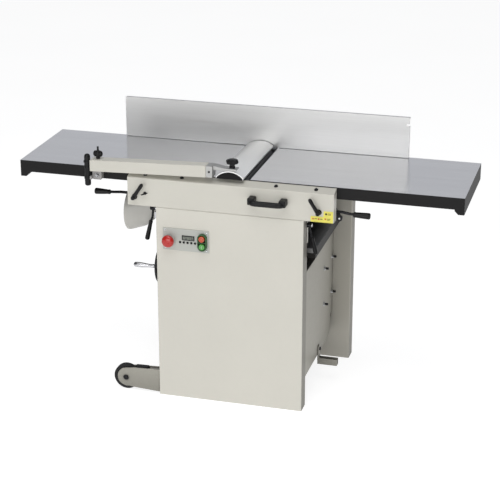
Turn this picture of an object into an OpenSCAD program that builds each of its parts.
// Planer-thicknesser with tilting surfacing tables.
// X runs along the tables, Y runs from the operator's side to the back,
// Z is up. The origin is the centre of the four floor anchor holes.

/* [Tables] */
// Height of the surfacing tables above the floor
table_z = 860; // [855:1:865]
// Width of the surfacing tables
table_w = 410; // [404:1:410]
// Left end of the outfeed table
outfeed_x = -805; // [-830:1:-780]
// Right end of the infeed table
infeed_x = 825; // [800:1:850]
// Thickness of the table plate
table_t = 14; // [12:1:16]
// Height of the table aprons
apron_h = 43; // [40:1:44]
// Edge of the outfeed lip next to the cutterhead
lip_out = -37; // [-42:0.5:-36]
// Edge of the infeed lip next to the cutterhead
lip_in = 67; // [66:0.5:72]

/* [Cutterhead] */
// Distance of the cutterhead axis from the middle of the cabinet
cutter_x = 15; // [14:0.5:16]
// Radius of the circle that the knives cut
knife_r = 47.5; // [46:0.5:48]
// Radius of the cutterhead drum
drum_r = 45; // [42:0.5:45.5]
// Number of knives
knives = 4; // [2, 3, 4]
// Radius of the feed rollers
roller_r = 17.5; // [14:0.5:18]

/* [Fence] */
// Left end of the fence
fence_x0 = -534; // [-560:1:-500]
// Right end of the fence
fence_x1 = 560; // [520:1:580]
// Height of the fence
fence_h = 155; // [120:1:158]

/* [Cabinet] */
// Width of the front cabinet
front_w = 545; // [540:1:550]
// Depth of the whole base
body_d = 560; // [560:1:566]
// Height of the front cabinet
front_h = 740; // [738:1:740]
// Width of the rear cabinet
rear_w = 684; // [680:1:690]
// Height of the rear cabinet
rear_h = 700; // [690:1:702]
// Sheet thickness
sheet = 3; // [2:0.5:4]

/* [Thicknesser] */
// Height of the thicknesser table's face
bed_z = 617; // [600:1:625]
// Right end of the thicknesser table
bed_x = 303; // [296:1:306]
// Left end of the thicknesser table, beside the handwheel
bed_left = 288; // [280:1:289]
// Thickness of the thicknesser table
bed_t = 37; // [30:1:38]

/* [Handwheel] */
// Radius of the handwheel rim's outer edge
wheel_r = 75; // [70:1:80]
// Radius of the rim's section
rim_r = 7.5; // [6:0.5:8]

/* [Dust port] */
// Outer radius of the dust spigot
port_r = 80; // [70:1:82]
// Height of the spigot's axis
port_z = 655; // [650:1:658]

/* [Transport kit] */
// Radius of the kit wheels
kit_r = 49; // [46:0.5:49.5]
// Height of the kit wheels' axles
kit_z = 50; // [50:1:52]

/* [Hidden] */
$fn = 64;
cutter_z = table_z - 48;
table_y0 = 40;
table_y1 = table_y0 + table_w;
fx = front_w / 2;
rx = rear_w / 2;
hinge_y = 535;
hinge_z = 830;
col_y = 250;
wheel_y = 145;
wheel_z = 468;
wheel_x = -302;
motor_x = 140;
motor_z = 215;
roller_dx = 62;
roller_z = table_z - 88;
port_y = 200;
post_x = -530;
post_y = 8;
cream = [0.84, 0.83, 0.80];
black = [0.06, 0.06, 0.07];
dark = [0.20, 0.20, 0.21];
steel = [0.62, 0.63, 0.65];
alu = [0.78, 0.79, 0.81];
iron = [0.36, 0.37, 0.39];
red = [0.75, 0.08, 0.07];
green = [0.08, 0.45, 0.18];
yellow = [0.93, 0.80, 0.10];

// Moves the operator's side to the front of the base
module place() { translate([0, -body_d / 2, 0]) children(); }
// Box between two corners
module box(a, b) { translate(a) cube([b[0] - a[0], b[1] - a[1], b[2] - a[2]]); }
// Round bars along the three axes
module rod_x(x0, x1, y, z, r) { translate([x0, y, z]) rotate([0, 90, 0]) cylinder(r = r, h = x1 - x0); }
module rod_y(x, y0, y1, z, r) { translate([x, y0, z]) rotate([-90, 0, 0]) cylinder(r = r, h = y1 - y0); }
module rod_z(x, y, z0, z1, r) { translate([x, y, z0]) cylinder(r = r, h = z1 - z0); }
// Round bar between any two points, r1 at the first and r2 at the second
module rod_p(p, q, r1, r2) {
    d = q - p; l = norm(d);
    translate(p) rotate([0, acos(d[2] / l), atan2(d[1], d[0])]) cylinder(r1 = r1, r2 = r2, h = l);
}

// ---------------------------------------------------------------- base
// Floor plates inside the two cabinets, with the anchor holes
module floor_flanges() {
    color(dark) place() difference() {
        union() {
            box([-fx + sheet, sheet, 0], [fx - sheet, 56, 8]);
            box([-rx + sheet, 500 + sheet, 0], [rx - sheet, body_d - sheet, 8]);
        }
        for (x = [-200, 200], y = [30, body_d - 30]) translate([x, y, 0]) cylinder(r = 7, h = 40, center = true);
    }
}
// Tray between the side frames that carries the motor and the lift column
module base_tray() {
    color(dark) place() box([-252, 56, 113], [252, 500, 121]);
}
module front_cabinet() {
    color(cream) place() difference() {
        box([-fx, 0, 0], [fx, 56, front_h]);
        box([-fx + sheet, sheet, -1], [fx - sheet, 57, front_h - sheet]);
        rod_y(-221, -1, sheet + 1, 623, 9);
    }
}
// Side sheets and lid of the rear cabinet
module rear_cabinet() {
    color(cream) place() {
        for (s = [-1, 1]) box([s > 0 ? rx - sheet : -rx, 500 + sheet, 0], [s > 0 ? rx : -rx + sheet, body_d - sheet, rear_h - sheet - 0.4]);
        box([-rx, 500, rear_h - sheet], [rx, body_d, rear_h]);
    }
}
// Front flanges and back sheet of the rear cabinet
module rear_panels() {
    color(cream) place() difference() {
        union() {
            for (s = [-1, 1]) box([s > 0 ? 200 : -rx, 500, 0], [s > 0 ? rx : -200, 500 + sheet, rear_h - sheet]);
            box([-rx, body_d - sheet, 0], [rx, body_d, rear_h - sheet]);
        }
        rod_y(-300, body_d - sheet - 1, body_d + 1, 120, 12);
    }
}
module side_frames() {
    color(cream) place() difference() {
        for (s = [-1, 1]) translate([s > 0 ? 252 : -272, 0, 0]) rotate([90, 0, 90]) linear_extrude(20)
            polygon([[56, 113], [436, 113], [452, 134], [474, 172], [484, 190], [500, 190], [500, 527], [56, 527]]);
        rod_x(-280, -240, wheel_y, wheel_z, 10.05);
    }
}
module rear_crossmember() {
    color(cream) place() union() {
        box([-250, 440, 690], [250, 466, 740]);
        for (s = [-1, 1]) box([s > 0 ? 200 : -250, 466, 690], [s > 0 ? 250 : -200, 500, 740]);
    }
}
module block(y0, y1) {
    difference() {
        union() {
            box([cutter_x - 90, y0, 740], [cutter_x + 90, y1, 806]);
            box([cutter_x - 43, y0, 806], [cutter_x + 43, y1, table_z - 8]);
        }
        rod_y(cutter_x, y0 - 1, y1 + 1, cutter_z, 30);
        for (s = [-1, 1]) rod_y(cutter_x + s * roller_dx, y0 - 1, y1 + 1, roller_z, 8.05);
    }
}
module bearing_blocks() { color(iron) place() { block(46, 68); block(442, 466); } }
module cutterhead_bearings() {
    color(steel) place() for (y = [48, 446]) difference() {
        rod_y(cutter_x, y, y + 18, cutter_z, 30);
        rod_y(cutter_x, y - 1, y + 19, cutter_z, 15.05);
    }
}
module chip_hood() {
    color(iron) place() difference() {
        union() {
            box([-200, 62, 660], [230, 440, 735]);
            box([-306, port_y - 70, 660], [-199, port_y + 70, 735]);
        }
        box([-197, 65, 663], [227, 437, 736]);
        box([-307, port_y - 67, 663], [-190, port_y + 67, 732]);
    }
}
// Spigot and the chute that joins it to the hood
module dust_duct() {
    color([0.72, 0.73, 0.75]) place() {
        difference() {
            union() {
                rod_x(-440, -428, port_y, port_z, port_r);
            }
            rod_x(-441, -427, port_y, port_z, port_r - 3);
        }
        difference() {
            union() {
                hull() { rod_x(-429, -427, port_y, port_z, port_r - 1, $fn = 32); rod_x(-373, -371, port_y, 666, 69, $fn = 32); }
                hull() { rod_x(-373, -371, port_y, 666, 69, $fn = 32); box([-308, port_y - 70, 660], [-306, port_y + 70, 735]); }
            }
            hull() { rod_x(-430, -428, port_y, port_z, port_r - 5, $fn = 32); rod_x(-373, -371, port_y, 666, 65, $fn = 32); }
            hull() { rod_x(-373, -371, port_y, 666, 65, $fn = 32); box([-307, port_y - 66, 664], [-305, port_y + 66, 731]); }
        }
    }
}
module motor() {
    color(iron) place() difference() {
        union() {
            rod_y(motor_x, 200, 440, motor_z, 70);
            box([motor_x - 55, 230, 121], [motor_x + 55, 410, motor_z - 40]);
            for (y = [212 : 12 : 428]) rod_y(motor_x, y, y + 4, motor_z, 75);
        }
        rod_y(motor_x, 420, 441, motor_z, 12.05);
    }
}
module drive_belt() {
    color(black) place() translate([0, 493, 0]) rotate([90, 0, 0]) linear_extrude(20) difference() {
        hull() { translate([cutter_x, cutter_z]) circle(r = 43.3, $fn = 48); translate([motor_x, motor_z]) circle(r = 55.3, $fn = 48); }
        hull() { translate([cutter_x, cutter_z]) circle(r = 38.4, $fn = 48); translate([motor_x, motor_z]) circle(r = 50.4, $fn = 48); }
    }
}
module lift_column() {
    color(dark) place() difference() {
        union() {
            rod_z(0, col_y, 121, 441, 46);
            box([-60, 120, 440], [60, 310, 519]);
        }
        rod_z(0, col_y, 131, 520, 36.05);
        rod_z(0, col_y, 120, 132, 15.55);
        rod_x(-61, -10, wheel_y, wheel_z, 10.05);
    }
}
module control_plate() {
    color(alu) place() {
        difference() {
            union() {
                box([-246, -4, 584], [-73, 0, 667]);
                for (i = [0 : 4]) rod_y(-181 + i * 14, -6.5, -3, 617, 4);
                box([-173, -5.5, 626], [-128, -4, 643]);
            }
            rod_y(-221, -5, 1, 623, 9);
        }
    }
}
module control_housings() {
    color(black) place() {
        difference() {
            union() {
                box([-114.5, -14, 609.5], [-79.5, -4, 639.5]);
                rod_y(-97, -14, -4, 609.5, 17.6);
                rod_y(-97, -14, -4, 639.5, 17.6);
            }
            rod_y(-97, -15, -5, 609.5, 11.1);
            rod_y(-97, -15, -5, 639.5, 11.1);
        }
        difference() { rod_y(-221, -10, -4, 623, 19); rod_y(-221, -11, -3, 623, 8.1); }
    }
}
module frame_bolts() {
    color(steel) place() {
        for (y = [344, 475], z = [287, 432], s = [-1, 1])
            rod_x(s > 0 ? 272 : -290, s > 0 ? 290 : -272, y, z, 9);
        rod_x(278, 285, 262.5, 138, 7);
    }
}
module hinge_brackets() {
    color(dark) place() for (c = [-310, 320]) {
        for (d = [-33, 21]) box([c + d, hinge_y - 16, rear_h], [c + d + 12, hinge_y + 16, hinge_z + 16]);
        rod_x(c - 38, c + 38, hinge_y, hinge_z, 8);
    }
}
module wheel_brackets() {
    color(cream) place() for (k = [[0, -fx], [519, -rx]]) for (y = [5, 32]) difference() {
        union() {
            box([-406, k[0] + y, kit_z - 40], [k[1], k[0] + y + 4, kit_z + 40]);
            rod_y(-406, k[0] + y, k[0] + y + 4, kit_z, 42);
        }
        rod_y(-406, k[0] + y - 1, k[0] + y + 5, kit_z, 6);
    }
}
module wheel_axles() {
    color(dark) place() for (y = [0, 519]) {
        rod_y(-406, y + 1, y + 40, kit_z, 6);
        rod_y(-406, y - 1, y + 5, kit_z, 11);
        rod_y(-406, y + 36, y + 42, kit_z, 11);
    }
}
module tow_bracket() {
    color(cream) place() difference() {
        union() {
            difference() { box([272, 250, 78], [348, 275, 103]); box([271, 254, 82], [349, 271, 104]); }
            box([272, 248, 103], [278, 277, 138]);
            rod_x(272, 278, 262.5, 138, 15);
        }
        rod_z(330, 262.5, 70, 90, 7);
    }
}
module cable_gland() {
    color(black) place() difference() {
        union() { rod_y(-300, body_d - sheet, body_d + 22, 120, 12); rod_y(-300, body_d, body_d + 8, 120, 17); }
        rod_y(-300, body_d - 10, body_d + 30, 120, 6.5);
    }
}
module lever_shafts() {
    color(steel) place() {
        rod_x(-324, -284, 100, 700, 6);
        box([-284, 20, 690], [-272.5, 112, 714]);
        rod_x(272.5, 294, 40, 712, 6);
    }
}

// ---------------------------------------------------------------- tables
module front_beam() {
    color(cream) place() difference() {
        translate([-377, 0, 0]) rotate([90, 0, 90]) linear_extrude(756)
            polygon([[0, 740], [40, 740], [40, 857], [36, 857], [0, 845]]);
        box([-380, 4, 744], [382, 36, 841]);
    }
}
module carrier(x0) { box([x0, 40, 780], [x0 + 40, 510, 811]); }
module table_carriers() {
    color(dark) place() {
        carrier(-130); carrier(120);
        for (x = [-330, 300]) {
            carrier(x);
            difference() {
                union() {
                    translate([x, 0, 0]) rotate([90, 0, 90]) linear_extrude(40)
                        polygon([[490, 780], [510, 780], [537, 817], [537, 843], [524, 843], [500, 811], [490, 811]]);
                    rod_x(x, x + 40, hinge_y, hinge_z, 14);
                }
                rod_x(x - 1, x + 41, hinge_y, hinge_z, 8.06);
            }
        }
        for (x = [-362, 364]) rod_y(x, 40, 76, 764, 8);
    }
}
module lift_handle() {
    color(black) place() {
        for (x = [89, 202]) rod_y(x, -36, 0, 803, 7);
        rod_x(80, 211, -36, 799, 10);
    }
}
module beam_screws() {
    color(black) place() {
        for (x = [-315, -178, 167, 311]) translate([x, 20, 845 + 20 / 3]) rotate([atan(1 / 3), 0, 0]) cylinder(r = 7, h = 6);
        rod_y(-351, -26, 0, 773, 6);
        rod_y(326, -26, 0, 777, 6);
        rod_y(-311, -12, 0, 789, 7);
    }
}
module beam_label() {
    color(yellow) place() rotate([90, 0, 0]) linear_extrude(1)
        polygon([[297, 741], [377, 741], [377, 783], [343, 783], [343, 762], [297, 762]]);
}
module fence_slide_block() {
    color(iron) place() difference() {
        box([-140, 474, 811], [-70, 510, 902]);
        box([-131, 473, 866], [-79, 511, 895]);
        rod_x(-141, -130, 492, 880, 6.1);
    }
}
module table_cast(x0, x1, lip) {
    // lip is -1 where the lip next to the cutterhead is on the right, 1 on the left
    z1 = table_z; z0 = table_z - apron_h;
    difference() {
        box([x0, table_y0, z0], [x1, table_y1, z1]);
        box([x0 + 12, table_y0 + 10, z0 - 1], [x1 - 10, table_y1 - 10, z1 - table_t]);
    }
    n = 3;
    for (i = [1 : n]) box([x0 + i * (x1 - x0) / (n + 1) - 5, table_y0 + 9, z0], [x0 + i * (x1 - x0) / (n + 1) + 5, table_y1 - 9, z1 - table_t + 1]);
    // End lug
    e = lip < 0 ? x0 : x1 - 34;
    difference() {
        box([e, table_y0, z0 - 18], [e + 34, table_y1, z0 + 1]);
        box([e + 10, table_y0 + 30, z0 - 19], [e + 24, table_y1 - 30, z0 + 2]);
        translate([lip < 0 ? e + 34 : e, 0, z0 - 18]) rotate([0, 45, 0]) translate([-9, table_y0 - 1, -9]) cube([18, table_w + 2, 18]);
    }
}
module outfeed_table() { color(iron) place() table_cast(outfeed_x, lip_out, -1); }
module infeed_table() { color(iron) place() table_cast(lip_in, infeed_x, 1); }
module height_lever(s, len) {
    // s is -1 for the lever that points left, 1 for the one that points right
    px = s < 0 ? -362 : 364;
    difference() {
        union() {
            rod_y(px, 50, 70, 764, 15);
            rod_p([px + s * 12, 60, 764], [px + s * (len - 56), 60, 763], 5, 5);
            rod_p([px + s * (len - 58), 60, 763], [px + s * (len - 10), 60, 762], 8, 11);
            translate([px + s * (len - 10), 60, 762]) sphere(r = 10.95);
        }
        rod_y(px, 49, 71, 764, 8.06);
    }
}
module outfeed_lever() { color(black) place() height_lever(-1, 163); }
module infeed_lever() { color(black) place() height_lever(1, 133); }
module clamp_lever(px, pz, ex, ez) {
    difference() {
        union() {
            rod_y(px, -24, -1.5, pz, 13);
            rod_p([px, -16, pz], [ex, -30, ez], 6, 5);
            translate([ex, -30, ez]) sphere(r = 7);
        }
        rod_y(px, -25, 0, pz, 6.06);
    }
}
module clamp_lever_left() { color(steel) place() difference() { clamp_lever(-351, 773, -313, 829); } }
module clamp_lever_right() { color(steel) place() difference() { clamp_lever(326, 777, 298, 830); } }

// ---------------------------------------------------------------- fence
module fence_bar() {
    color(alu) place() {
        box([-130, 470, 867], [-80, 760, 894]);
        difference() {
            union() {
                box([-170, 464, 864], [-40, 472, 894]);
                for (x = [-170, -60]) box([x, 452, 864], [x + 20, 470, 876]);
            }
            rod_x(-180, -30, 458, 870, 4);
        }
        for (x = [-170, -60]) rod_x(x - 4, x + 24, 458, 870, 4);
    }
}
module fence_plate() {
    color(alu) place() difference() {
        union() {
            box([fence_x0, 435, table_z + 1.5], [fence_x1, 439, table_z + fence_h]);
            box([fence_x0, 438, table_z + fence_h - 8], [fence_x1, 453, table_z + fence_h - 2]);
            for (z = [table_z + 50, table_z + 96]) box([fence_x0, 438, z], [fence_x1, 449, z + 5]);
            box([fence_x0, 438, table_z + 1.5], [fence_x1, 446, table_z + 6]);
            for (x = [-190, -36]) box([x, 438, 864], [x + 16, 464, 876]);
        }
        rod_x(-200, -10, 458, 870, 4.06);
        for (x = [-172, -62]) box([x, 446, 855], [x + 24, 470, 880]);
        box([fence_x1 - 12, 430, 982], [fence_x1 + 1, 460, 990]);
    }
}
module fence_lock_lever() {
    color(black) place() {
        rod_x(-158, -132, 492, 880, 6);
        rod_x(-158, -141, 492, 880, 13);
        rod_p([-150, 492, 880], [-156, 545, 872], 5, 6);
        translate([-156, 545, 872]) sphere(r = 9);
    }
}

// ---------------------------------------------------------------- guard
module guard_bracket() {
    color([0.72, 0.73, 0.75]) place() difference() {
        union() {
            box([-508, 14, 823], [-474, 40, 856]);
            box([-545, -4, 823], [-508, 22, 835]);
        }
        rod_z(post_x, post_y, 822, 836, 11);
        rod_y(-491, 13, 24, 840, 6);
    }
}
module guard_post() {
    color(black) place() union() {
        rod_z(post_x, post_y, 797, 823, 13);
        rod_z(post_x, post_y, 823, 916, 11);
        rod_y(-491, 8, 24, 840, 6);
    }
}
module guard_arm() {
    color(cream) place() difference() {
        union() {
            translate([0, 38, 0]) rotate([90, 0, 0]) linear_extrude(44)
                polygon([[-512, 857.5], [-82, 869], [-82, 913], [-512, 898]]);
            for (z = [862, 884]) {
                rod_z(post_x, post_y, z, z + 7, 13.5);
                box([post_x, post_y - 10, z], [-508, post_y + 10, z + 7]);
            }
        }
        for (z = [862, 884]) rod_z(post_x, post_y, z - 1, z + 8, 11.06);
        rod_z(-491, 16, 875, 915, 5.1);
    }
}
module guard_arm_end() {
    color(steel) place() {
        box([-82, -5, 870], [-58, 37, 912]);
        difference() {
            box([-58, 4, 897], [28, 36, 905]);
            rod_z(8, 20, 890, 910, 6.1);
        }
    }
}
module guard_arm_knob() {
    color(black) place() {
        rod_z(-491, 16, 875, 912, 5);
        difference() {
            rod_z(-491, 16, 911, 935, 19);
            for (i = [0 : 5]) rotate_at(-491, 16, i * 60) translate([22, 0, 910]) cylinder(r = 6, h = 26);
        }
    }
}
module rotate_at(x, y, a) { translate([x, y, 0]) rotate([0, 0, a]) children(); }
// Crowned guard plate, an arc section with turned-down edges
module guard_plate() {
    color(alu) place() translate([0, 430, 0]) rotate([90, 0, 0]) linear_extrude(420) difference() {
        intersection() {
            translate([0, 894 - 64]) circle(r = 64, $fn = 128);
            translate([-50, 865]) square([100, 40]);
        }
        intersection() {
            translate([0, 890.5 - 64]) circle(r = 64, $fn = 128);
            translate([-47, 860]) square([94, 40]);
        }
    }
}
module guard_clamp_knob() {
    color(black) place() {
        rod_z(8, 20, 896.5, 912, 6);
        rod_z(8, 20, 905.5, 914, 11);
        translate([8, 20, 914]) rotate_extrude() polygon([[0, 0], [19, 0], [22.5, 5], [22.5, 14], [18, 20], [0, 24]]);
    }
}

// ---------------------------------------------------------------- drive
module cutterhead() {
    color(steel) place() {
        rod_y(cutter_x, 76, 432, cutter_z, drum_r);
        rod_y(cutter_x, 48, 496, cutter_z, 15);
        rod_y(cutter_x, 70, 438, cutter_z, 20);
        rod_y(cutter_x, 472, 494, cutter_z, 38);
        for (i = [0 : knives - 1]) translate([cutter_x, 80, cutter_z]) rotate([0, i * 360 / knives + 20, 0])
            translate([drum_r - 6, 0, -1.5]) cube([knife_r - drum_r + 6 - 0.05, 348, 3]);
    }
}
module motor_rotor() {
    color(steel) place() {
        rod_y(motor_x, 424, 496, motor_z, 12);
        rod_y(motor_x, 472, 494, motor_z, 50);
    }
}
module feed_roller(s) {
    rod_y(cutter_x + s * roller_dx, 70, 438, roller_z, roller_r);
    rod_y(cutter_x + s * roller_dx, 47, 465, roller_z, 8);
}
module feed_roller_infeed() { color(steel) place() feed_roller(1); }
module feed_roller_outfeed() { color(steel) place() feed_roller(-1); }

// ---------------------------------------------------------------- thicknesser
module thicknesser_table() {
    color(iron) place() difference() {
        union() {
            box([-bed_left, 60, bed_z - 14], [bed_x, 460, bed_z]);
            box([-bed_left, 60, bed_z - bed_t], [bed_x, 72, bed_z - 13]);
            box([-bed_left, 448, bed_z - bed_t], [bed_x, 460, bed_z - 13]);
            for (x = [-bed_left, -60, 48, bed_x - 12]) box([x, 70, bed_z - bed_t], [x + 12, 450, bed_z - 13]);
            rod_z(0, col_y, bed_z - bed_t, bed_z - 13, 60);
            rod_z(0, col_y, 190, bed_z - bed_t + 1, 36);
        }
        rod_z(0, col_y, 189, bed_z - 20, 16.5);
    }
}
module lift_screw() {
    color(steel) place() rod_z(0, col_y, 121, 520, 15.5);
}
module handwheel() {
    color([0.55, 0.56, 0.58]) place() {
        translate([wheel_x, wheel_y, wheel_z]) rotate([0, 90, 0]) {
            rotate_extrude($fn = 96) translate([wheel_r - rim_r, 0]) circle(r = rim_r, $fn = 32);
            for (a = [0 : 120 : 240]) rotate([0, 0, a + 180]) translate([0, 0, 0]) rotate([0, 90, 0]) cylinder(r = 5.5, h = wheel_r - rim_r);
            translate([0, 0, -13]) cylinder(r = 18, h = 24);
        }
        rod_x(wheel_x - 16, -40, wheel_y, wheel_z, 10);
        rod_x(wheel_x - 88, wheel_x, wheel_y - 65, wheel_z + 11, 4);
    }
}
module handwheel_grip() {
    color([0.45, 0.46, 0.48]) place() difference() {
        translate([wheel_x - 8.5, wheel_y - 65, wheel_z + 11]) rotate([0, -90, 0]) cylinder(r1 = 7, r2 = 10, h = 78);
        rod_x(wheel_x - 100, wheel_x, wheel_y - 65, wheel_z + 11, 4.06);
    }
}
module feed_lever() {
    color(black) place() difference() {
        union() {
            rod_x(-326, -308, 100, 700, 12);
            rod_p([-317, 100, 692], [-327, 100, 643], 5, 5);
            rod_p([-325, 100, 650], [-341, 100, 582], 7.5, 9);
            translate([-341, 100, 582]) sphere(r = 8.95);
        }
        rod_x(-330, -300, 100, 700, 6.06);
    }
}
module table_lock_lever() {
    color(black) place() difference() {
        union() {
            rod_x(276, 292, 40, 712, 12);
            rod_p([284, 40, 704], [295, 40, 664], 5, 5);
            rod_p([295, 40, 666], [309, 40, 612], 8, 9.5);
            translate([309, 40, 612]) sphere(r = 9.45);
        }
        rod_x(274, 296, 40, 712, 6.06);
    }
}
module estop_button() {
    color(red) place() {
        rod_y(-221, -18, -3, 623, 8);
        translate([-221, -16, 623]) rotate([90, 0, 0]) rotate_extrude() polygon([[0, 0], [16, 0], [22, 5], [22, 11], [17, 17], [0, 19]]);
    }
}
module start_button() { color(green) place() rod_y(-97, -17, -8.2, 609.5, 11); }
module stop_button() { color(red) place() rod_y(-97, -19, -8.2, 639.5, 11); }
module kit_wheel(y) {
    difference() {
        rod_y(-406, y + 11, y + 30, kit_z, kit_r);
        rod_y(-406, y + 10, y + 31, kit_z, 6.06);
        for (q = [y + 9, y + 26]) difference() { rod_y(-406, q, q + 6, kit_z, kit_r - 13); rod_y(-406, q - 1, q + 7, kit_z, 14); }
    }
}
module kit_wheel_front() { color(dark) place() kit_wheel(0); }
module kit_wheel_rear() { color(dark) place() kit_wheel(519); }

floor_flanges();
base_tray();
front_cabinet();
rear_cabinet();
rear_panels();
side_frames();
rear_crossmember();
bearing_blocks();
cutterhead_bearings();
chip_hood();
dust_duct();
motor();
drive_belt();
lift_column();
control_plate();
control_housings();
frame_bolts();
hinge_brackets();
wheel_brackets();
wheel_axles();
tow_bracket();
cable_gland();
lever_shafts();
front_beam();
table_carriers();
lift_handle();
beam_screws();
beam_label();
fence_slide_block();
outfeed_table();
infeed_table();
outfeed_lever();
infeed_lever();
clamp_lever_left();
clamp_lever_right();
fence_bar();
fence_plate();
fence_lock_lever();
guard_bracket();
guard_post();
guard_arm();
guard_arm_end();
guard_arm_knob();
guard_plate();
guard_clamp_knob();
cutterhead();
motor_rotor();
feed_roller_infeed();
feed_roller_outfeed();
thicknesser_table();
lift_screw();
handwheel();
handwheel_grip();
feed_lever();
table_lock_lever();
estop_button();
start_button();
stop_button();
kit_wheel_front();
kit_wheel_rear();
